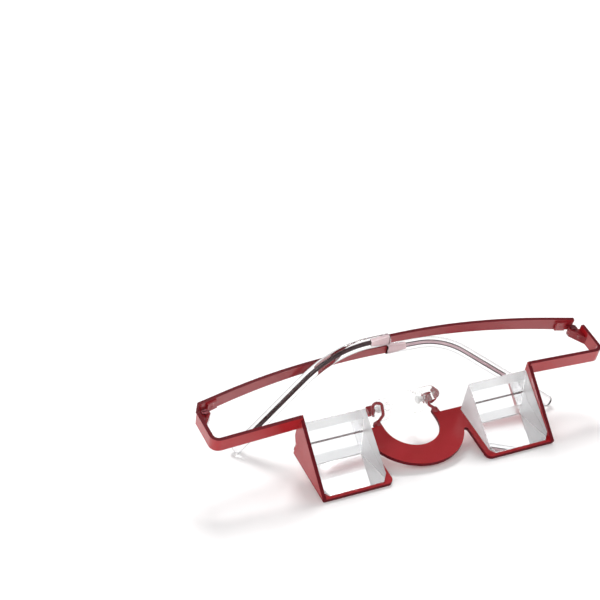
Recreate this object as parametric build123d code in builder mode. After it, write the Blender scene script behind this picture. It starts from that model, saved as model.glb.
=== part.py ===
from build123d import *
from math import asin, cos, degrees, radians, sin, sqrt, tan
import os

os.makedirs("parts", exist_ok=True)

# Belay prism glasses, folded, lying on a table as in the picture. Lengths are in millimetres, angles in degrees.
# Left and right are those of the picture. Places are given in the frame of the worn glasses: x to the
# picture's right, y to the rear, z up, with z = 0 on top of the sheet under the prisms, y = 0 at the
# prisms' rear faces and x = 0 in the mirror plane.
sides = {"left": -1, "right": 1}

# How the glasses lie: they rest on the front lower edge of the sheet and on both sleeve tips
pitch = 20.6
bed_shift = -1.42

# One overrun for all cuts
overrun = 5.0

# Front: one folded sheet
sheet = 1.2
floor_front = 21.1
floor_rear = 1.2
floor_corner = 2.0
glass_seat = 0.1
bridge_back = 0.5
bridge_inner = 9.35
bridge_outer = 17.2
slot_depth = 8.2
slot_width = 1.42
horn_width = 2.4
horn_length = 3.3
horn_round = 0.8
side_top = 14.2
side_step_low = 3.6
side_step_high = 6.0
side_step = 1.3
side_rear = 0.5
fold_round = 1.0

# Prisms of clear glass, over a mirror coat
prism_margin = 1.8
prism_width = 21.5
prism_height = 11.75
prism_depth = 20.2
prism_lip = 0.2
prism_cut_across = 1.5
prism_cut_back = 2.0
prism_chamfer = 0.15
coat = 0.12

# Arms from the side plates out to the end pieces
arm_height = 4.45
arm_middle = 12.45
arm_droop = 3.4
arm_corner = 2.4
end_reach = 70.0
end_length = 11.9

# Hinges
hinge_inset = 3.2
hinge_depth = 12.8
barrel_radius = 1.6
barrel_room = 0.15
hinge_low = 2.3
hinge_high = 0.5
knuckle_gap = 0.06
end_knuckle = 0.88
block_start = 7.3
screw_radius = 0.6
screw_fit = 0.05
screw_head_radius = 1.1
screw_head = 0.5
screw_slot = 0.25
screw_slot_depth = 0.25
screw_tail = 0.2

# Temple hinge leaf and its rivet
leaf = 0.8
leaf_start = 2.1
leaf_length = 3.6
leaf_low = 1.9
leaf_high = 1.5
rivet_place = 3.9
rivet_up = -0.4
rivet_radius = 0.4
rivet_fit = 0.03
rivet_head_radius = 0.75
rivet_head = 0.25

# Temple strips
strip = 1.1
strip_height = 4.4
strip_end_height = 2.9
strip_lead = 0.7
strip_straight = 9.0
strip_length_share = 0.9857
bow_radius_share = 3.1143
tongue_length = 7.0
tongue_end_height = 1.3
fold_angle = {"left": 12.5, "right": 15.6}
cross_lift = {"left": -3.85, "right": 1.57}

# Core wires and clear sleeves, with the bend behind the ear
core_radius = 0.55
core_length_share = {"left": 0.657, "right": 0.88}
sleeve_radius = 1.8
sleeve_fit = 0.08
sleeve_tip_round = 1.2
ear_run_share = 0.2929
ear_radius_share = 0.3857
ear_tail_share = 0.64
ear_fall_angle = {"left": 26.3, "right": 51.6}
ear_in_angle = {"left": 27.4, "right": 2.2}

# Nose wires, each a loop from the horn to its box
wire_radius = 0.5
wire_foot_across = 10.4
wire_foot_back = 2.3
wire_span = 5.2
wire_bend = 1.1
wire_shares = (
    (0, 0, 0.1),
    (-0.44, 0.25, 0.37),
    (-0.37, 0.63, 1.0),
    (0.12, 0.79, 1.0),
    (0.21, 0.5, 0.46),
    (-0.02, 0.6, 0),
)
solder_radius = 1.15
solder_height = 0.9
solder_angle = 30.0

# Boxes that hold the pad stems
box_across = 10.3
box_back = 7.9
box_length = 2.4
box_size = 2.4
box_wall = 0.5
stem_fit = 0.1
pad_screw_radius = 0.35
pad_screw_head_radius = 0.6
pad_screw_head = 0.3

# Soft saddle: two pads joined by a strap over the nose
pad_across = 6.4
pad_thick = 1.3
pad_long = 6.2
pad_short = 3.4
pad_back = 6.9
pad_up = 0.4
pad_angle = 30.0
stem_button = 1.3
stem_button_thick = 0.5
strap_radius = 1.0
strap_bend = 2.2
strap_height = 11.0
strap_back = 2.3
strap_shoulder = 9.4
strap_shoulder_height = 8.2
strap_shoulder_back = 1.5
strap_flat = 6.0
strap_foot_back = 4.6
strap_foot_height = 3.4

# Sizes that follow
slot_edge = sqrt(bridge_outer ** 2 - (slot_depth - bridge_back) ** 2)
floor_inner = slot_edge + slot_width
prism_inner = floor_inner + prism_margin
side_inner = prism_inner + prism_width + glass_seat
side_outer = side_inner + sheet
fold_back = sheet / 2
rest_low = floor_front * sin(radians(pitch)) + sheet * cos(radians(pitch))
hinge_reach = end_reach - hinge_inset
end_inner = end_reach - sheet
strip_offset = hinge_inset - strip / 2
leaf_outer = strip_offset - strip / 2
knuckle = hinge_high + hinge_low - 2 * end_knuckle - 2 * knuckle_gap
knuckle_low = end_knuckle + knuckle_gap - hinge_low
strip_length = end_reach * strip_length_share
bow_radius = end_reach * bow_radius_share
bow_turn = (strip_length - strip_straight - strip_lead) / bow_radius
ear_run = end_reach * ear_run_share
ear_radius = end_reach * ear_radius_share
ear_tail = end_reach * ear_tail_share
core_length = {name: end_reach * share for name, share in core_length_share.items()}
tilt_angle = {name: degrees(asin(lift / strip_length)) for name, lift in cross_lift.items()}

# The right temple is folded further in by a sleeve and a strip, and passes in front of the left one
start_angle = {
    "left": fold_angle["left"],
    "right": fold_angle["right"] - degrees(asin((2 * sleeve_radius + strip) / strip_length)),
}


# The frame of the worn glasses and its planes
worn = Plane(
    origin=(0, bed_shift, rest_low),
    x_dir=(1, 0, 0),
    z_dir=(0, -sin(radians(pitch)), cos(radians(pitch))),
)


def place(across, back, up):
    return worn.from_local_coords(Vector(across, back, up))


def level(up):
    return worn.offset(up)


def beside(across):
    return Plane(origin=place(across, 0, 0), x_dir=worn.y_dir, z_dir=worn.x_dir)


def facing(back):
    return Plane(origin=place(0, back, 0), x_dir=worn.x_dir, z_dir=-worn.y_dir)


def arm_plane(side, up=0.0):
    # Level plane that droops with the arm, through the arm's middle
    lean = radians(arm_droop)
    origin = place(0, 0, arm_middle + side_outer * tan(lean))
    across = worn.x_dir * cos(lean) - worn.z_dir * (side * sin(lean))
    out = worn.z_dir * cos(lean) + worn.x_dir * (side * sin(lean))
    return Plane(origin=origin, x_dir=across, z_dir=out).offset(up)


def temple_plane(name, up=0.0, tilted=True):
    # Plane on the hinge axis, its x along the start of the folded temple
    side = sides[name]
    arm = arm_plane(side)
    turn = radians(start_angle[name])
    rise = radians(tilt_angle[name]) if tilted else 0
    level_way = arm.y_dir * sin(turn) - arm.x_dir * (side * cos(turn))
    way = level_way * cos(rise) + arm.z_dir * sin(rise)
    out = arm.z_dir * cos(rise) - level_way * sin(rise)
    origin = arm.from_local_coords(Vector(side * hinge_reach, hinge_depth, 0))
    return Plane(origin=origin, x_dir=way, z_dir=out).offset(up)


def temple_side_plane(name, out=0.0):
    # Upright plane along the start of the temple: x along it, y up
    flat = temple_plane(name)
    return Plane(origin=flat.origin, x_dir=flat.x_dir, z_dir=-flat.y_dir).offset(out)


# Front frame: floors and crescent bridge, side plates, arms and end pieces, all one sheet
def side_profile():
    # Outline of a side plate, as (back, up)
    return (
        (-floor_front, -sheet),
        (-floor_front, 0),
        (fold_back, side_top + fold_back * side_top / floor_front),
        (fold_back, side_step_high + side_step),
        (side_rear, side_step_high),
        (side_rear - side_step, side_step_low),
        (side_rear - side_step, -sheet),
    )


with BuildPart() as front_frame:
    with BuildSketch(level(-sheet)) as flat:
        for side in sides.values():
            with Locations((side * (floor_inner + side_inner) / 2, (floor_rear - floor_front) / 2)):
                Rectangle(side_inner - floor_inner, floor_rear + floor_front)
        fillet(flat.vertices().group_by(Axis.Y)[0].sort_by(lambda corner: abs(corner.X))[:2], floor_corner)
        with Locations((0, -bridge_back)):
            Circle(bridge_outer)
        with Locations((0, (floor_rear - slot_depth) / 2)):
            Rectangle(2 * floor_inner, floor_rear + slot_depth)
        with Locations((0, floor_rear + bridge_outer)):
            Rectangle(2 * bridge_outer, 2 * bridge_outer, mode=Mode.SUBTRACT)
        for side in sides.values():
            with Locations((side * (floor_inner + slot_edge) / 2, -slot_depth)):
                Circle(slot_width / 2, mode=Mode.SUBTRACT)
            with Locations((side * (bridge_inner + horn_width / 2), horn_length / 2)):
                Rectangle(horn_width, horn_length)
        fillet(flat.vertices().group_by(Axis.Y)[-1], horn_round)
        with Locations((0, -bridge_back)):
            Circle(bridge_inner, mode=Mode.SUBTRACT)
        with Locations((0, (horn_length + overrun - bridge_back) / 2)):
            Rectangle(2 * bridge_inner, horn_length + overrun + bridge_back, mode=Mode.SUBTRACT)
    extrude(amount=sheet)
    for side in sides.values():
        with BuildSketch(beside(side * side_inner)):
            Polygon(*side_profile(), align=None)
        extrude(amount=side * sheet)
        with BuildSketch(arm_plane(side)):
            with BuildLine():
                FilletPolyline(
                    (side * (side_inner + side_outer) / 2, 0),
                    (side * (end_reach - sheet / 2), 0),
                    (side * (end_reach - sheet / 2), end_length),
                    radius=arm_corner,
                )
            trace(line_width=sheet)
        extrude(amount=arm_height / 2, both=True)
    fold_edges = front_frame.edges().filter_by(Axis(worn.origin, worn.y_dir)).filter_by(
        lambda edge: abs(abs(edge.center().X) - side_outer) < glass_seat
        and worn.to_local_coords(edge.center()).Z < -sheet / 2
    )
    fillet(fold_edges, fold_round)
front_frame.part.label = "front_frame"
export_step(front_frame.part, "parts/front_frame.step")


# Prisms and the mirror coats under them
def prism_plan(side):
    inner = side * prism_inner
    outer = side * (prism_inner + prism_width)
    cut = side * prism_cut_across
    return (
        (inner, 0),
        (inner, prism_cut_back - prism_depth),
        (inner + cut, -prism_depth),
        (outer - cut, -prism_depth),
        (outer, prism_cut_back - prism_depth),
        (outer, 0),
    )


for name, side in sides.items():
    with BuildPart() as prism:
        with BuildSketch(level(coat)):
            Polygon(*prism_plan(side), align=None)
        extrude(amount=prism_height)
        with BuildSketch(beside(side * prism_inner)):
            Polygon(
                (0, coat),
                (0, prism_height),
                (-prism_depth, coat + prism_lip),
                (-prism_depth, coat),
                align=None,
            )
        extrude(amount=side * prism_width, mode=Mode.INTERSECT)
        chamfer(prism.edges().sort_by(Axis(worn.origin, worn.z_dir))[-1], prism_chamfer)
    prism.part.label = f"{name}_prism"
    export_step(prism.part, f"parts/{name}_prism.step")

    with BuildPart() as mirror_coat:
        with BuildSketch(level(0)):
            Polygon(*prism_plan(side), align=None)
        extrude(amount=coat)
    mirror_coat.part.label = f"{name}_mirror_coat"
    export_step(mirror_coat.part, f"parts/{name}_mirror_coat.step")


# Nose wires with their solder feet
for name, side in sides.items():
    loop = [
        place(
            side * (wire_foot_across + across_share * wire_span),
            wire_foot_back + back_share * wire_span,
            up_share * wire_span,
        )
        for across_share, back_share, up_share in wire_shares
    ]
    box_front = place(side * box_across, box_back - box_size / 2, 0)
    with BuildPart() as nose_arm:
        with BuildLine() as route:
            FilletPolyline(*loop, box_front, radius=wire_bend)
        with BuildSketch(Plane(origin=route.line @ 0, z_dir=route.line % 0)):
            Circle(wire_radius)
        sweep()
        with BuildSketch(level(0)):
            with Locations((side * wire_foot_across, wire_foot_back)):
                Circle(solder_radius)
        extrude(amount=solder_height, taper=solder_angle)
    nose_arm.part.label = f"{name}_nose_arm"
    export_step(nose_arm.part, f"parts/{name}_nose_arm.step")


# Boxes on the nose wires: channels that open towards the nose, with the pad stems and screws in them
for name, side in sides.items():
    inner_end = side * (box_across - box_length / 2)
    with BuildPart() as nose_box:
        with BuildSketch(beside(inner_end)):
            with Locations((box_back, 0)):
                Rectangle(box_size, box_size)
        extrude(amount=side * box_length)
        with BuildSketch(beside(inner_end)):
            with Locations((box_back, 0)):
                Rectangle(box_size - 2 * box_wall, box_size - 2 * box_wall)
        extrude(amount=side * (box_length - box_wall), mode=Mode.SUBTRACT)
        with BuildSketch(facing(box_back)):
            with Locations((side * box_across, 0)):
                Circle(pad_screw_radius)
        extrude(amount=box_size, both=True, mode=Mode.SUBTRACT)
    nose_box.part.label = f"{name}_nose_box"
    export_step(nose_box.part, f"parts/{name}_nose_box.step")

    stem_size = box_size - 2 * box_wall - 2 * stem_fit
    stem_end = box_across + box_length / 2 - box_wall - stem_fit
    pad_face = pad_across + pad_thick / 2
    with BuildPart() as pad_stem:
        with BuildSketch(beside(side * pad_face)):
            with Locations((box_back, 0)):
                Circle(stem_button)
        extrude(amount=side * stem_button_thick)
        with BuildSketch(beside(side * pad_face)):
            with Locations((box_back, 0)):
                Rectangle(stem_size, stem_size)
        extrude(amount=side * (stem_end - pad_face))
        with BuildSketch(facing(box_back)):
            with Locations((side * box_across, 0)):
                Circle(pad_screw_radius)
        extrude(amount=box_size, both=True, mode=Mode.SUBTRACT)
    pad_stem.part.label = f"{name}_pad_stem"
    export_step(pad_stem.part, f"parts/{name}_pad_stem.step")

    box_rear = box_back + box_size / 2
    with BuildPart() as pad_screw:
        with BuildSketch(facing(box_rear)):
            with Locations((side * box_across, 0)):
                Circle(pad_screw_radius)
        extrude(amount=box_size)
        with BuildSketch(facing(box_rear + pad_screw_head)):
            with Locations((side * box_across, 0)):
                Circle(pad_screw_head_radius)
        extrude(amount=pad_screw_head)
    pad_screw.part.label = f"{name}_pad_screw"
    export_step(pad_screw.part, f"parts/{name}_pad_screw.step")


# Soft saddle: a pad on each flank of the nose and the strap that joins them
with BuildPart() as nose_saddle:
    with BuildLine() as route:
        FilletPolyline(
            place(-pad_across, strap_foot_back, strap_foot_height),
            place(-strap_shoulder, strap_shoulder_back, strap_shoulder_height),
            place(-strap_flat, strap_back, strap_height),
            place(strap_flat, strap_back, strap_height),
            place(strap_shoulder, strap_shoulder_back, strap_shoulder_height),
            place(pad_across, strap_foot_back, strap_foot_height),
            radius=strap_bend,
        )
    with BuildSketch(Plane(origin=route.line @ 0, z_dir=route.line % 0)):
        Circle(strap_radius)
    sweep()
    for side in sides.values():
        with BuildSketch(beside(side * (pad_across - pad_thick / 2))):
            with Locations(Location((pad_back, pad_up, 0), (0, 0, pad_angle))):
                Ellipse(pad_short, pad_long)
        extrude(amount=side * pad_thick)
nose_saddle.part.label = "nose_saddle"
export_step(nose_saddle.part, "parts/nose_saddle.step")


# Hinges: a block with two knuckles soldered inside each end piece, and a knuckle with a leaf on each temple
def hinge_axis(side):
    return (side * hinge_reach, hinge_depth)


def block_outline(side):
    # From the end piece's inner face to the barrel, seen from above
    return (
        (side * end_inner, block_start),
        (side * end_inner, end_length - knuckle_gap),
        (side * hinge_reach, hinge_depth),
        (side * (hinge_reach - barrel_radius), hinge_depth),
        (side * (hinge_reach - barrel_radius), hinge_depth - barrel_radius / 2),
    )


def temple_strip(name, spare):
    # Strip and tongue of a temple, grown by the spare room that a sleeve leaves around them
    side = sides[name]
    with BuildPart() as band:
        with BuildSketch(temple_plane(name)):
            with BuildLine():
                root = Line((-strip_lead, -side * strip_offset), (strip_straight, -side * strip_offset))
                bow = JernArc(root @ 1, root % 1, bow_radius, side * degrees(bow_turn))
                PolarLine(bow @ 1, tongue_length, direction=bow % 1)
            trace(line_width=strip + 2 * spare)
        extrude(amount=strip_height, both=True)
        with BuildSketch(temple_side_plane(name)):
            bow_end = strip_straight + bow_radius * sin(bow_turn)
            tongue_end = bow_end + tongue_length * cos(bow_turn)
            Polygon(
                (-strip_lead, strip_height / 2 + spare),
                (bow_end, strip_end_height / 2 + spare),
                (tongue_end, tongue_end_height / 2 + spare),
                (tongue_end, -tongue_end_height / 2 - spare),
                (bow_end, -strip_end_height / 2 - spare),
                (-strip_lead, -strip_height / 2 - spare),
                align=None,
            )
        extrude(amount=strip_length, both=True, mode=Mode.INTERSECT)
    return band.part


def ear_route(name, before, after):
    # Three points: on the tongue's line, at the bend behind the ear, and down the tail
    side = sides[name]
    flat = temple_plane(name)
    end = Vector(
        strip_straight + bow_radius * sin(bow_turn),
        -side * (strip_offset - bow_radius * (1 - cos(bow_turn))),
        0,
    )
    way = Vector(cos(bow_turn), side * sin(bow_turn), 0)
    turn = bow_turn + radians(ear_in_angle[name])
    fall = radians(ear_fall_angle[name])
    down = Vector(cos(fall) * cos(turn), side * cos(fall) * sin(turn), -sin(fall))
    corner = end + way * ear_run
    points = (end + way * before, corner, corner + down * after)
    return [flat.from_local_coords(point) for point in points]


for name, side in sides.items():
    with BuildPart() as end_hinge:
        with BuildSketch(arm_plane(side, -hinge_low)):
            Polygon(*block_outline(side), align=None)
            with Locations(hinge_axis(side)):
                Circle(barrel_radius)
        extrude(amount=hinge_low + hinge_high)
        with BuildSketch(arm_plane(side, knuckle_low - knuckle_gap)):
            with Locations(hinge_axis(side)):
                Circle(barrel_radius + barrel_room)
        extrude(amount=knuckle + 2 * knuckle_gap, mode=Mode.SUBTRACT)
        with BuildSketch(arm_plane(side, -hinge_low)):
            with Locations(hinge_axis(side)):
                Circle(screw_radius)
        extrude(amount=hinge_low + hinge_high, mode=Mode.SUBTRACT)
    end_hinge.part.label = f"{name}_end_hinge"
    export_step(end_hinge.part, f"parts/{name}_end_hinge.step")

    with BuildPart() as hinge_screw:
        with BuildSketch(arm_plane(side, -hinge_low - screw_tail)):
            with Locations(hinge_axis(side)):
                Circle(screw_radius)
        extrude(amount=hinge_low + hinge_high + screw_tail)
        with BuildSketch(arm_plane(side, hinge_high)):
            with Locations(hinge_axis(side)):
                Circle(screw_head_radius)
        extrude(amount=screw_head)
        with BuildSketch(arm_plane(side, hinge_high + screw_head)):
            with Locations(hinge_axis(side)):
                Rectangle(2 * screw_head_radius, screw_slot)
        extrude(amount=-screw_slot_depth, mode=Mode.SUBTRACT)
    hinge_screw.part.label = f"{name}_hinge_screw"
    export_step(hinge_screw.part, f"parts/{name}_hinge_screw.step")

    leaf_middle = -side * (leaf_outer - leaf / 2)
    with BuildPart() as temple_hinge:
        with BuildSketch(temple_plane(name, knuckle_low, tilted=False)):
            Circle(barrel_radius)
            with Locations((leaf_start / 2, leaf_middle)):
                Rectangle(leaf_start, leaf)
        extrude(amount=knuckle)
        with BuildSketch(temple_plane(name, -leaf_low, tilted=False)):
            with Locations((leaf_start + leaf_length / 2, leaf_middle)):
                Rectangle(leaf_length, leaf)
        extrude(amount=leaf_low + leaf_high)
        with BuildSketch(temple_plane(name, -hinge_low, tilted=False)):
            Circle(screw_radius + screw_fit)
        extrude(amount=hinge_low + hinge_high, mode=Mode.SUBTRACT)
        with BuildSketch(temple_side_plane(name)):
            with Locations((rivet_place, rivet_up)):
                Circle(rivet_radius + rivet_fit)
        extrude(amount=overrun, both=True, mode=Mode.SUBTRACT)
    temple_hinge.part.label = f"{name}_temple_hinge"
    export_step(temple_hinge.part, f"parts/{name}_temple_hinge.step")

    with BuildPart() as temple_rivet:
        with BuildSketch(temple_side_plane(name, side * (leaf_outer - leaf))):
            with Locations((rivet_place, rivet_up)):
                Circle(rivet_radius)
        extrude(amount=side * (leaf + strip))
        with BuildSketch(temple_side_plane(name, side * (leaf_outer + strip))):
            with Locations((rivet_place, rivet_up)):
                Circle(rivet_head_radius)
        extrude(amount=side * rivet_head)
    temple_rivet.part.label = f"{name}_temple_rivet"
    export_step(temple_rivet.part, f"parts/{name}_temple_rivet.step")

    metal = temple_strip(name, 0)
    with BuildPart() as temple:
        add(metal)
        with BuildLine() as route:
            FilletPolyline(
                *ear_route(name, tongue_length / 2, core_length[name] - ear_run),
                radius=ear_radius,
            )
        with BuildSketch(Plane(origin=route.line @ 0, z_dir=route.line % 0)):
            Circle(core_radius)
        sweep()
        with BuildSketch(temple_side_plane(name)):
            with Locations((rivet_place, rivet_up)):
                Circle(rivet_radius + rivet_fit)
        extrude(amount=overrun, both=True, mode=Mode.SUBTRACT)
    temple.part.label = f"{name}_temple"
    export_step(temple.part, f"parts/{name}_temple.step")

    pocket = temple_strip(name, sleeve_fit)
    with BuildPart() as sleeve:
        with BuildLine() as route:
            FilletPolyline(*ear_route(name, 0, ear_tail), radius=ear_radius)
        with BuildSketch(Plane(origin=route.line @ 0, z_dir=route.line % 0)):
            Circle(sleeve_radius)
        sweep()
        rim = sleeve.edges().filter_by(GeomType.CIRCLE).sort_by_distance(route.line @ 1)[0]
        fillet(rim, sleeve_tip_round)
        with BuildLine() as bore:
            FilletPolyline(
                *ear_route(name, tongue_length / 2, core_length[name] - ear_run + sleeve_fit),
                radius=ear_radius,
            )
        with BuildSketch(Plane(origin=bore.line @ 0, z_dir=bore.line % 0)):
            Circle(core_radius + sleeve_fit)
        sweep(mode=Mode.SUBTRACT)
        add(pocket, mode=Mode.SUBTRACT)
    sleeve.part.label = f"{name}_sleeve"
    export_step(sleeve.part, f"parts/{name}_sleeve.step")
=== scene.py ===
import bpy
import bmesh
import math
from mathutils import Euler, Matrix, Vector
from mathutils.bvhtree import BVHTree


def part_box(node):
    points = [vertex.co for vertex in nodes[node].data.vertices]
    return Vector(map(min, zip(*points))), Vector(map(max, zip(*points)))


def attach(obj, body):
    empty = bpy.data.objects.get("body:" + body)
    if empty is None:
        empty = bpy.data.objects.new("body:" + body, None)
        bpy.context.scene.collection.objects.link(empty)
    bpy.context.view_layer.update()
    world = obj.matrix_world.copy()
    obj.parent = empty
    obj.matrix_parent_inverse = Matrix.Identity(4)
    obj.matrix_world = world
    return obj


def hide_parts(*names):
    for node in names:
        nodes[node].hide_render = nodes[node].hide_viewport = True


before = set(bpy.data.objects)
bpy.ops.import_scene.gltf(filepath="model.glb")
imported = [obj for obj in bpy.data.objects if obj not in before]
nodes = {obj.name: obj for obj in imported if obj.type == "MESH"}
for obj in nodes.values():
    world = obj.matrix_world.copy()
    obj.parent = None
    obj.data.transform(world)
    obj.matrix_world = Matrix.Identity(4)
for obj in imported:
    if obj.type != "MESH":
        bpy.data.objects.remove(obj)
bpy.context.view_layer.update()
scene = bpy.context.scene
mm = 0.001
sides = ("left", "right")
print("frame loaded:", len(nodes), "nodes")


# Camera, where the photograph was taken from

cameraSetup = {
    "place": (-258.2, -425.5, 264.3),  # mm
    "turn": -27.35,  # degrees about the vertical
    "lookDown": 23.385,
    "lens": 106.36,
    "sensor": 36.0,
    "near": 0.01,  # metres
    "far": 50,
}


def addCamera():
    data = bpy.data.cameras.new("camera")
    data.sensor_width = cameraSetup["sensor"]
    data.lens = cameraSetup["lens"]
    data.clip_start = cameraSetup["near"]
    data.clip_end = cameraSetup["far"]
    camera = bpy.data.objects.new("camera", data)
    camera.location = Vector(cameraSetup["place"]) * mm
    camera.rotation_euler = Euler(
        (math.radians(90 - cameraSetup["lookDown"]), 0, math.radians(cameraSetup["turn"]))
    )
    scene.collection.objects.link(camera)
    scene.camera = camera


addCamera()
print("camera done")


# Material helpers

def startMaterial(name):
    made = bpy.data.materials.new(name)
    made.use_nodes = True
    shader = made.node_tree.nodes["Principled BSDF"]
    return made, made.node_tree, shader


def addNoise(tree, scale, detail=2.0, roughness=0.5, stretch=(1, 1, 1)):
    # noise in object space, scale is in features per metre
    coords = tree.nodes.new("ShaderNodeTexCoord")
    mapping = tree.nodes.new("ShaderNodeMapping")
    mapping.inputs["Scale"].default_value = stretch
    tree.links.new(coords.outputs["Object"], mapping.inputs["Vector"])
    noise = tree.nodes.new("ShaderNodeTexNoise")
    noise.inputs["Scale"].default_value = scale
    noise.inputs["Detail"].default_value = detail
    noise.inputs["Roughness"].default_value = roughness
    tree.links.new(mapping.outputs["Vector"], noise.inputs["Vector"])
    return noise.outputs["Fac"]


def addRange(tree, source, low, high, fromLow=0.3, fromHigh=0.7):
    ranged = tree.nodes.new("ShaderNodeMapRange")
    ranged.inputs["From Min"].default_value = fromLow
    ranged.inputs["From Max"].default_value = fromHigh
    ranged.inputs["To Min"].default_value = low
    ranged.inputs["To Max"].default_value = high
    tree.links.new(source, ranged.inputs["Value"])
    return ranged.outputs["Result"]


def addTwoTone(tree, source, colorA, colorB):
    mix = tree.nodes.new("ShaderNodeMix")
    mix.data_type = "RGBA"
    mix.inputs["A"].default_value = (*colorA, 1)
    mix.inputs["B"].default_value = (*colorB, 1)
    tree.links.new(source, mix.inputs["Factor"])
    return mix.outputs["Result"]


def addBump(tree, shader, source, height, strength):
    bump = tree.nodes.new("ShaderNodeBump")
    bump.inputs["Strength"].default_value = strength
    bump.inputs["Distance"].default_value = height
    tree.links.new(source, bump.inputs["Height"])
    tree.links.new(bump.outputs["Normal"], shader.inputs["Normal"])


# Dark red paint on the folded sheet, the hinges and the temples

paintSetup = {
    "frame": {
        "base": (0.31, 0.005, 0.008),
        "worn": (0.35, 0.007, 0.012),
        "roughness": (0.4, 0.5),
        "grain": 5200,  # per metre, fine powder grain
        "grainHeight": 0.01,  # mm
        "grainStrength": 0.2,
        "cloud": 140,  # per metre, where base and worn take turns
        "specular": 0.12,
        "gloss": 0.9,
        "glossRoughness": 0.14,
    },
    "temple": {
        "base": (0.25, 0.007, 0.012),
        "worn": (0.29, 0.011, 0.017),
        "roughness": (0.36, 0.46),
        "grain": 5200,
        "grainHeight": 0.01,
        "grainStrength": 0.2,
        "cloud": 90,
        "specular": 0.3,
        "gloss": 1.0,
        "glossRoughness": 0.16,
    },
    "cutEdge": {  # painted shade: the sheet's cut edges are painted dark for the dark surroundings they reflect
        "base": (0.09, 0.006, 0.01),
        "worn": (0.13, 0.009, 0.014),
        "roughness": (0.3, 0.45),
        "grain": 4200,
        "grainHeight": 0.015,
        "grainStrength": 0.3,
        "cloud": 300,
        "specular": 0.05,
        "gloss": 0.0,
        "glossRoughness": 0.2,
    },
    "hardware": {  # soldered wires, boxes and hinges, dipped in the same paint but glossier
        "base": (0.17, 0.005, 0.009),
        "worn": (0.24, 0.007, 0.012),
        "roughness": (0.22, 0.32),
        "grain": 3000,
        "grainHeight": 0.012,
        "grainStrength": 0.3,
        "cloud": 500,
        "specular": 0.3,
        "gloss": 0.6,
        "glossRoughness": 0.05,
    },
    "sleeved": {  # the strip's end in the sleeve, painted pale: painted light for the bright clear sleeve mouth round it
        "base": (0.82, 0.6, 0.62),
        "worn": (0.88, 0.7, 0.72),
        "roughness": (0.4, 0.5),
        "grain": 3000,
        "grainHeight": 0.01,
        "grainStrength": 0.2,
        "cloud": 300,
        "specular": 0.3,
        "gloss": 0.5,
        "glossRoughness": 0.2,
    },
    "redCore": {  # the wire inside the left sleeve: its pale pink is a painted reflection of a red case nearby, with painted shade at its edges
        "base": (0.68, 0.48, 0.51),
        "worn": (0.76, 0.58, 0.61),
        # painted shade at the wire's edges
        "edge": (0.025, 0.01, 0.013),
        "edgeFrom": 0.15,  # as the turn away from the eye, from 0 to 1
        "edgeTo": 0.3,
        "roughness": (0.3, 0.45),
        "grain": 3600,
        "grainHeight": 0.01,
        "grainStrength": 0.2,
        "cloud": 200,
        "specular": 0.15,
        "gloss": 0.2,
        "glossRoughness": 0.15,
    },
    "core": {  # the wire inside the right sleeve
        "base": (0.035, 0.015, 0.017),
        "worn": (0.06, 0.026, 0.029),
        "roughness": (0.35, 0.5),
        "grain": 3600,
        "grainHeight": 0.01,
        "grainStrength": 0.2,
        "cloud": 200,
        "specular": 0.15,
        "gloss": 0.15,
        "glossRoughness": 0.2,
    },
}
lacquerIor = 1.52  # the clear gloss on every paint


def makePaint(name, setup):
    made, tree, shader = startMaterial(name)
    cloud = addNoise(tree, setup["cloud"], detail=4.0, roughness=0.6)
    shade = addRange(tree, cloud, 0.0, 1.0)
    color = addTwoTone(tree, shade, setup["base"], setup["worn"])
    if "edge" in setup:
        # painted shade: the wire is painted dark where its surface turns away from the eye
        facing = tree.nodes.new("ShaderNodeLayerWeight").outputs["Facing"]
        turned = addRange(tree, facing, 0.0, 1.0, setup["edgeFrom"], setup["edgeTo"])
        edged = addTwoTone(tree, turned, setup["base"], setup["edge"])
        tree.links.new(color, edged.node.inputs["A"])
        color = edged
    tree.links.new(color, shader.inputs["Base Color"])
    low, high = setup["roughness"]
    tree.links.new(addRange(tree, cloud, high, low), shader.inputs["Roughness"])
    grain = addNoise(tree, setup["grain"], detail=3.0, roughness=0.55)
    addBump(tree, shader, grain, setup["grainHeight"] * mm, setup["grainStrength"])
    shader.inputs["Specular IOR Level"].default_value = setup["specular"]
    shader.inputs["Coat Weight"].default_value = setup["gloss"]
    shader.inputs["Coat Roughness"].default_value = setup["glossRoughness"]
    shader.inputs["Coat IOR"].default_value = lacquerIor
    return made


# Glass, mirror coat, clear plastics and steel

clearSetup = {
    "glass": {"ior": 1.516, "roughness": 0.0, "tint": (0.985, 0.99, 0.99), "milk": 0.0},
    "sleeve": {
        "ior": 1.28,
        "roughness": 0.015,
        "tint": (0.98, 0.975, 0.98),
        "milk": 0.0,
        # painted shade: a dark outline where the sleeve turns away from the eye
        "rim": (0.02, 0.018, 0.02),
        "rimFrom": 0.22,  # as the turn away from the eye, from 0 to 1
        "ripple": 700,  # per metre
        "rippleHeight": 0.004,  # mm
        "rippleStrength": 0.1,
    },
    "stem": {"ior": 1.12, "roughness": 0.3, "tint": (0.96, 0.965, 0.965), "milk": 0.75},
    "silicone": {
        "ior": 1.04,
        "roughness": 0.02,
        "tint": (0.975, 0.98, 0.975),
        "milk": 0.08,
        # painted shade: a gray line where the silicone turns away from the eye
        "rim": (0.42, 0.43, 0.43),
        "rimFrom": 0.7,
    },
}
hazeSetup = {"scale": 420, "spread": 1.6, "lift": 0.004}  # how far the roughness wanders


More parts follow.
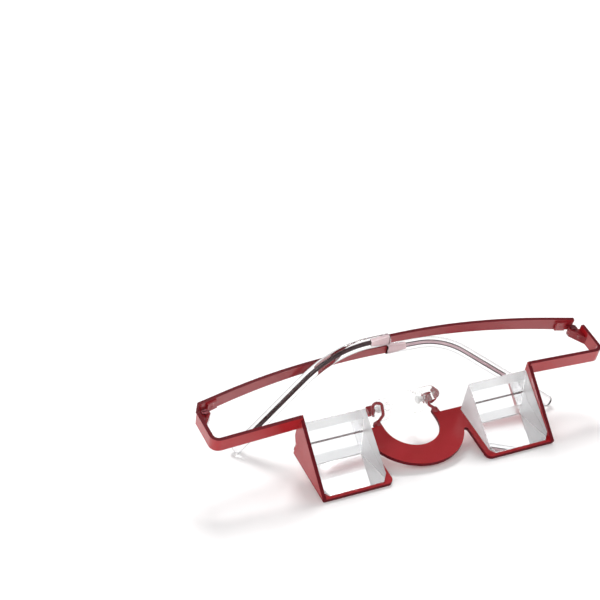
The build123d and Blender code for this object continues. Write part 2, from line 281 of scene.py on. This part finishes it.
def makeClear(name, setup):
    made, tree, shader = startMaterial(name)
    shader.inputs["Base Color"].default_value = (*setup["tint"], 1)
    if "rim" in setup:
        # painted shade: grayer where the surface turns away from the eye
        facing = tree.nodes.new("ShaderNodeLayerWeight").outputs["Facing"]
        turned = addRange(tree, facing, 0.0, 1.0, setup["rimFrom"], 1.0)
        color = addTwoTone(tree, turned, setup["tint"], setup["rim"])
        tree.links.new(color, shader.inputs["Base Color"])
    shader.inputs["Transmission Weight"].default_value = 1.0 - setup["milk"]
    shader.inputs["IOR"].default_value = setup["ior"]
    low = setup["roughness"]
    high = low * hazeSetup["spread"] + hazeSetup["lift"]
    haze = addNoise(tree, hazeSetup["scale"], detail=3.0)
    tree.links.new(addRange(tree, haze, low, high), shader.inputs["Roughness"])
    if "ripple" in setup:
        ripple = addNoise(tree, setup["ripple"])
        addBump(tree, shader, ripple, setup["rippleHeight"] * mm, setup["rippleStrength"])
    return made


rearSetup = {"from": 14.15, "to": 15.1, "roughness": 0.38}  # heights in mm


def makeRearGlass(name, glass, setup):
    # clear where the eye looks in, ground along the top: the photo shows no sharp temples in the glass
    made, tree, shader = startMaterial(name)
    shader.inputs["Base Color"].default_value = (*glass["tint"], 1)
    shader.inputs["Transmission Weight"].default_value = 1.0
    shader.inputs["IOR"].default_value = glass["ior"]
    coords = tree.nodes.new("ShaderNodeTexCoord")
    split = tree.nodes.new("ShaderNodeSeparateXYZ")
    tree.links.new(coords.outputs["Object"], split.inputs["Vector"])
    low, high = setup["from"] * mm, setup["to"] * mm
    ground = addRange(tree, split.outputs["Z"], 0.0, setup["roughness"], low, high)
    tree.links.new(ground, shader.inputs["Roughness"])
    return made


groundSetup = {
    "color": (0.99, 0.99, 1.0),
    "dull": (0.965, 0.965, 0.98),
    "clear": 0.52,
    "roughness": 0.45,
    "grain": 3800,
    "grainHeight": 0.008,  # mm
    "grainStrength": 0.3,
}


def makeGround(name, setup):
    # the prisms' side faces are ground, not polished
    made, tree, shader = startMaterial(name)
    grain = addNoise(tree, setup["grain"], detail=3.0, roughness=0.6)
    color = addTwoTone(tree, addRange(tree, grain, 0.0, 1.0), setup["color"], setup["dull"])
    tree.links.new(color, shader.inputs["Base Color"])
    shader.inputs["Transmission Weight"].default_value = setup["clear"]
    shader.inputs["Roughness"].default_value = setup["roughness"]
    shader.inputs["IOR"].default_value = clearSetup["glass"]["ior"]
    addBump(tree, shader, grain, setup["grainHeight"] * mm, setup["grainStrength"])
    return made


mirrorSetup = {
    "color": (0.97, 0.97, 0.975),
    "dull": (0.94, 0.94, 0.95),
    "roughness": (0.0, 0.012),
    "cloud": 260,
}


def makeMirror(name, setup):
    made, tree, shader = startMaterial(name)
    cloud = addNoise(tree, setup["cloud"], detail=3.0)
    shade = addRange(tree, cloud, 0.0, 1.0)
    color = addTwoTone(tree, shade, setup["color"], setup["dull"])
    tree.links.new(color, shader.inputs["Base Color"])
    low, high = setup["roughness"]
    tree.links.new(addRange(tree, cloud, low, high), shader.inputs["Roughness"])
    shader.inputs["Metallic"].default_value = 1.0
    return made


steelSetup = {
    "color": (0.3, 0.08, 0.09),
    "dark": (0.16, 0.04, 0.05),
    "roughness": (0.22, 0.36),
    "scratch": 2400,
    "scratchStretch": (1, 6, 1),
    "scratchHeight": 0.01,  # mm
    "scratchStrength": 0.3,
}


def makeSteel(name, setup):
    made, tree, shader = startMaterial(name)
    stretch = setup["scratchStretch"]
    scratch = addNoise(tree, setup["scratch"], detail=4.0, roughness=0.6, stretch=stretch)
    shade = addRange(tree, scratch, 0.0, 1.0)
    color = addTwoTone(tree, shade, setup["color"], setup["dark"])
    tree.links.new(color, shader.inputs["Base Color"])
    low, high = setup["roughness"]
    tree.links.new(addRange(tree, scratch, low, high), shader.inputs["Roughness"])
    addBump(tree, shader, scratch, setup["scratchHeight"] * mm, setup["scratchStrength"])
    shader.inputs["Metallic"].default_value = 1.0
    return made


framePaint = makePaint("paintFrame", paintSetup["frame"])
templePaint = makePaint("paintTemple", paintSetup["temple"])
cutEdgeShadePaint = makePaint("paintedShadeCutEdge", paintSetup["cutEdge"])
hardwarePaint = makePaint("paintHardware", paintSetup["hardware"])
sleevedEndLightPaint = makePaint("paintedLightSleevedEnd", paintSetup["sleeved"])
coreWire = makePaint("coreWire", paintSetup["core"])
coreWireWithPaintedReflection = makePaint("coreWireWithPaintedReflection", paintSetup["redCore"])
prismGlass = makeClear("prismGlass", clearSetup["glass"])
sleevePlastic = makeClear("sleevePlastic", clearSetup["sleeve"])
stemPlastic = makeClear("stemPlastic", clearSetup["stem"])
groundGlass = makeGround("groundGlass", groundSetup)
rearGlass = makeRearGlass("rearGlass", clearSetup["glass"], rearSetup)
silicone = makeClear("silicone", clearSetup["silicone"])
mirrorCoat = makeMirror("mirrorCoat", mirrorSetup)
screwSteel = makeSteel("screwSteel", steelSetup)
print("materials done")


# Finish of the carried-over nodes: material, rounded edges (mm) and smooth shading

edgeRounds = {
    "front_frame": 0.14,
    "prism": 0.12,
    "nose_arm": 0.05,
    "nose_box": 0.12,
    "pad_stem": 0.08,
    "pad_screw": 0.05,
    "end_hinge": 0.1,
    "hinge_screw": 0.08,
    "temple_hinge": 0.1,
    "temple_rivet": 0.08,
    "temple": 0.12,
}

bevelSetup = {"segments": 2, "angle": 38}  # degrees, sharper folds than this are rounded
weldGap = 0.0005 * mm

nodeMaterials = {
    "front_frame": framePaint,
    "prism": prismGlass,
    "mirror_coat": mirrorCoat,
    "nose_arm": hardwarePaint,
    "nose_box": hardwarePaint,
    "pad_stem": stemPlastic,
    "pad_screw": screwSteel,
    "end_hinge": hardwarePaint,
    "hinge_screw": screwSteel,
    "temple_hinge": templePaint,
    "temple_rivet": templePaint,
    "temple": templePaint,
}


def clearNormals(node):
    bpy.context.view_layer.objects.active = node
    bpy.ops.mesh.customdata_custom_splitnormals_clear()
    for face in node.data.polygons:
        face.use_smooth = True


def roundEdges(node, width):
    weld = node.modifiers.new("weld", "WELD")
    weld.merge_threshold = weldGap
    bevel = node.modifiers.new("roundEdges", "BEVEL")
    bevel.width = width * mm
    bevel.segments = bevelSetup["segments"]
    bevel.limit_method = "ANGLE"
    bevel.angle_limit = math.radians(bevelSetup["angle"])
    bevel.use_clamp_overlap = True
    bevel.harden_normals = True


def finishNodes():
    for name, node in nodes.items():
        kind = name.removeprefix("left_").removeprefix("right_")
        if kind not in nodeMaterials:
            continue
        for slot in node.material_slots:
            slot.material = nodeMaterials[kind]
        clearNormals(node)
        if kind in edgeRounds:
            roundEdges(node, edgeRounds[kind])


cutEdgeSetup = {"deeper": 1.9, "wireFacet": 0.6, "sleeveNear": 1.5}  # mm
clearFit = {"grow": 0.02}  # mm, how far coat and stems reach into the glass and the silicone
prismFaces = {"side": 0.95, "rear": 0.9}  # least part of the normal along X or Y
rayStart = 0.01 * mm  # off the face, so that a ray doesn't meet the face itself


def treeOf(mesh):
    places = [vertex.co for vertex in mesh.vertices]
    return BVHTree.FromPolygons(places, [list(face.vertices) for face in mesh.polygons])


def paintCutEdges(name):
    # a cut edge is a face with far more metal behind it than the sheet is thick
    mesh = nodes[name].data
    tree = treeOf(mesh)
    # painted shade: the cut edges get the dark paint
    mesh.materials.append(cutEdgeShadePaint)
    for face in mesh.polygons:
        hit = tree.ray_cast(face.center - face.normal * rayStart, -face.normal)
        if hit[0] is not None and hit[3] > cutEdgeSetup["deeper"] * mm:
            face.material_index = len(mesh.materials) - 1


def paintCore(side, wirePaint):
    # in the sleeve the temple's narrow facets belong to the round wire, the others to the strip's end
    mesh = nodes[side + "_temple"].data
    tree = treeOf(nodes[side + "_sleeve"].data)
    # painted light: the strip's end in the sleeve gets the pale paint
    mesh.materials.append(sleevedEndLightPaint)
    mesh.materials.append(wirePaint)
    last = len(mesh.materials) - 1
    for face in mesh.polygons:
        places = [mesh.vertices[index].co for index in face.vertices]
        shortest = min((places[i] - places[i - 1]).length for i in range(len(places)))
        hit = tree.ray_cast(face.center, face.normal, cutEdgeSetup["sleeveNear"] * mm)
        if hit[0] is not None:
            face.material_index = last if shortest < cutEdgeSetup["wireFacet"] * mm else last - 1


def seatInClear():
    # faces that meet glass or silicone exactly are grown a hair into it, so that light meets them there
    for side in sides:
        for name in (side + "_mirror_coat", side + "_pad_stem"):
            grow = nodes[name].modifiers.new("grow", "DISPLACE")
            grow.strength = clearFit["grow"] * mm
            grow.mid_level = 0


def grindPrismSides():
    for side in sides:
        mesh = nodes[side + "_prism"].data
        mesh.materials.append(groundGlass)
        mesh.materials.append(rearGlass)
        last = len(mesh.materials) - 1
        for face in mesh.polygons:
            if abs(face.normal.x) > prismFaces["side"]:
                face.material_index = last - 1
            elif face.normal.y > prismFaces["rear"]:
                face.material_index = last


finishNodes()
seatInClear()
grindPrismSides()
for name in ("front_frame", "left_temple", "right_temple"):
    paintCutEdges(name)
# painted reflection and painted shade on the left core wire
paintCore("left", coreWireWithPaintedReflection)
paintCore("right", coreWire)
print("carried-over nodes done")


# Dark red border along the prism's lower rear edge: a painted reflection of the red sheet seen through
# the glass there

borderSetup = {
    "width": 0.14,  # mm
    "thick": 0.03,
    "inset": 0.16,  # above the underside of the glass
    "fromRear": 0.12,
    "fromSide": 0.1,
    "rounding": 0.01,
    "color": (0.15, 0.014, 0.02),
    "dull": (0.09, 0.011, 0.015),
    "cloud": 1500,  # per metre
    "roughness": 0.5,
}


def makeBorderPaint():
    made, tree, shader = startMaterial("coatBorderPaintedReflection")
    cloud = addNoise(tree, borderSetup["cloud"], detail=3.0)
    color = addTwoTone(tree, addRange(tree, cloud, 0.0, 1.0), borderSetup["color"], borderSetup["dull"])
    tree.links.new(color, shader.inputs["Base Color"])
    shader.inputs["Roughness"].default_value = borderSetup["roughness"]
    return made


def makeCoatBorder(side, paint):
    # the coat leans with the floor under it, so its own back and up are read from its box
    corners = [vertex.co.copy() for vertex in nodes[side + "_mirror_coat"].data.vertices]
    top = max(corners, key=lambda corner: corner.y + corner.z)
    low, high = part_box(side + "_mirror_coat")
    lean = math.atan2(high.z - low.z, high.y - low.y)
    back = Vector((0, math.cos(lean), math.sin(lean)))
    up = Vector((0, -math.sin(lean), math.cos(lean)))
    across = high.x - low.x - 2 * borderSetup["fromSide"] * mm
    middle = Vector(((low.x + high.x) / 2, top.y, top.z))
    middle += up * borderSetup["inset"] * mm
    middle -= back * (borderSetup["width"] / 2 + borderSetup["fromRear"]) * mm
    bm = bmesh.new()
    bmesh.ops.create_cube(bm, size=1)
    for vertex in bm.verts:
        place = vertex.co.copy()
        vertex.co = (
            middle
            + Vector((place.x * across, 0, 0))
            + back * place.y * borderSetup["width"] * mm
            + up * place.z * borderSetup["thick"] * mm
        )
    mesh = bpy.data.meshes.new(side + "_painted_reflection_border")
    bm.to_mesh(mesh)
    bm.free()
    mesh.materials.append(paint)
    border = bpy.data.objects.new(side + "_painted_reflection_border", mesh)
    scene.collection.objects.link(border)
    edge = border.modifiers.new("edge", "BEVEL")
    edge.width = borderSetup["rounding"] * mm
    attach(border, "front")


borderReflectionPaint = makeBorderPaint()
for side in sides:
    makeCoatBorder(side, borderReflectionPaint)
print("coat borders done")


# Clear sleeves, moulded tight round the metal: each is its solid's outside with the bore closed

def startClosing(node):
    mesh = node.data.copy()
    bm = bmesh.new()
    bm.from_mesh(mesh)
    bmesh.ops.remove_doubles(bm, verts=bm.verts, dist=weldGap)
    bm.normal_update()
    return mesh, bm


def closeOver(mesh, bm, inner, name, material, rounding):
    # the inner faces go, and what they leave open is filled
    print(name, "has inner faces closed:", len(inner))
    bmesh.ops.delete(bm, geom=inner, context="FACES")
    openEdges = [edge for edge in bm.edges if edge.is_boundary]
    bmesh.ops.holes_fill(bm, edges=openEdges, sides=0)
    bmesh.ops.recalc_face_normals(bm, faces=bm.faces)
    bm.to_mesh(mesh)
    bm.free()
    piece = bpy.data.objects.new(name, mesh)
    scene.collection.objects.link(piece)
    mesh.materials.clear()
    mesh.materials.append(material)
    clearNormals(piece)
    roundEdges(piece, rounding)
    return piece


sleeveSetup = {
    "boreReach": 3.6,  # mm, faces that look at each other across less than this are the bore
    "rimRound": 0.35,
}


def makeSleeve(side):
    mesh, bm = startClosing(nodes[side + "_sleeve"])
    tree = BVHTree.FromBMesh(bm)
    bore = []
    for face in bm.faces:
        start = face.calc_center_median() + face.normal * rayStart
        hit = tree.ray_cast(start, face.normal, sleeveSetup["boreReach"] * mm)
        if hit[0] is not None:
            bore.append(face)
    rounding = sleeveSetup["rimRound"]
    sleeve = closeOver(mesh, bm, bore, side + "_clear_sleeve", sleevePlastic, rounding)
    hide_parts(side + "_sleeve")
    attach(sleeve, side + "_temple")


for side in sides:
    makeSleeve(side)
print("sleeves done")


# Soft silicone saddle, shaped in the place of its plain solid

saddleSetup = {
    "rim": 0.5,  # mm, rounding of the pads' rims and the strap's edges
    "segments": 5,
    "touch": 0.03,  # faces nearer than this to a stem are the recess it is moulded in
}


def makeSaddle():
    # the silicone is moulded round the stems, so the recesses are closed
    mesh, bm = startClosing(nodes["nose_saddle"])
    stems = [treeOf(nodes[side + "_pad_stem"].data) for side in sides]
    touch = saddleSetup["touch"] * mm
    recess = []
    for face in bm.faces:
        middle = face.calc_center_median()
        if any(stem.find_nearest(middle, touch)[0] is not None for stem in stems):
            recess.append(face)
    saddle = closeOver(mesh, bm, recess, "soft_nose_saddle", silicone, saddleSetup["rim"])
    saddle.modifiers["roundEdges"].segments = saddleSetup["segments"]
    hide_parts("nose_saddle")
    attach(saddle, "front")


makeSaddle()
print("saddle done")


# Floor, lights and the white surroundings

floorSetup = {
    "size": 16.0,  # metres
    "cells": 4,
    "color": (0.96, 0.95, 0.945),
    "speck": (0.935, 0.925, 0.92),
    "cloud": 60,  # per metre
    "roughness": 0.9,
}
lightSetup = {  # metres and watts
    "back": {"place": (0.7, 1.5, 1.75), "aim": (0, 0.1, 0), "size": 0.8, "watts": 40},
    "front": {"place": (-1.25, -1.05, 1.35), "aim": (0, 0, 0), "size": 1.4, "watts": 14},
}
worldSetup = {
    "low": (1.2, 1.2, 1.2),  # light walls round the table
    "high": (0.17, 0.17, 0.18),  # dim ceiling
    "edgeLow": 0.55,  # as the height part of the direction, from 0 to 1
    "edgeHigh": 0.75,
    "white": (1, 1, 1),
}


def addFloor():
    mesh = bpy.data.meshes.new("floor")
    bm = bmesh.new()
    cells = floorSetup["cells"]
    bmesh.ops.create_grid(bm, x_segments=cells, y_segments=cells, size=floorSetup["size"] / 2)
    bm.to_mesh(mesh)
    bm.free()
    floor = bpy.data.objects.new("floor", mesh)
    scene.collection.objects.link(floor)
    made, tree, shader = startMaterial("floorPaper")
    shade = addRange(tree, addNoise(tree, floorSetup["cloud"], detail=3.0), 0.0, 1.0)
    color = addTwoTone(tree, shade, floorSetup["color"], floorSetup["speck"])
    tree.links.new(color, shader.inputs["Base Color"])
    shader.inputs["Roughness"].default_value = floorSetup["roughness"]
    shader.inputs["Specular IOR Level"].default_value = 0.0
    mesh.materials.append(made)


def addLight(name, setup):
    data = bpy.data.lights.new(name, "AREA")
    data.shape = "SQUARE"
    data.size = setup["size"]
    data.energy = setup["watts"]
    light = bpy.data.objects.new(name, data)
    light.location = setup["place"]
    aim = Vector(setup["aim"]) - Vector(setup["place"])
    light.rotation_euler = aim.to_track_quat("-Z", "Y").to_euler()
    scene.collection.objects.link(light)


def addWorld():
    world = bpy.data.worlds.new("studio")
    world.use_nodes = True
    tree = world.node_tree
    studio = tree.nodes["Background"]
    coords = tree.nodes.new("ShaderNodeTexCoord")
    split = tree.nodes.new("ShaderNodeSeparateXYZ")
    tree.links.new(coords.outputs["Generated"], split.inputs["Vector"])
    rise = addRange(tree, split.outputs["Z"], 0.0, 1.0, worldSetup["edgeLow"], worldSetup["edgeHigh"])
    walls = addTwoTone(tree, rise, worldSetup["low"], worldSetup["high"])
    tree.links.new(walls, studio.inputs["Color"])
    white = tree.nodes.new("ShaderNodeBackground")
    white.inputs["Color"].default_value = (*worldSetup["white"], 1)
    path = tree.nodes.new("ShaderNodeLightPath")
    mix = tree.nodes.new("ShaderNodeMixShader")
    tree.links.new(path.outputs["Is Camera Ray"], mix.inputs["Fac"])
    tree.links.new(studio.outputs["Background"], mix.inputs[1])
    tree.links.new(white.outputs["Background"], mix.inputs[2])
    tree.links.new(mix.outputs["Shader"], tree.nodes["World Output"].inputs["Surface"])
    scene.world = world


addFloor()
for name, setup in lightSetup.items():
    addLight(name, setup)
addWorld()
scene.view_settings.view_transform = "Standard"
print("stage done")
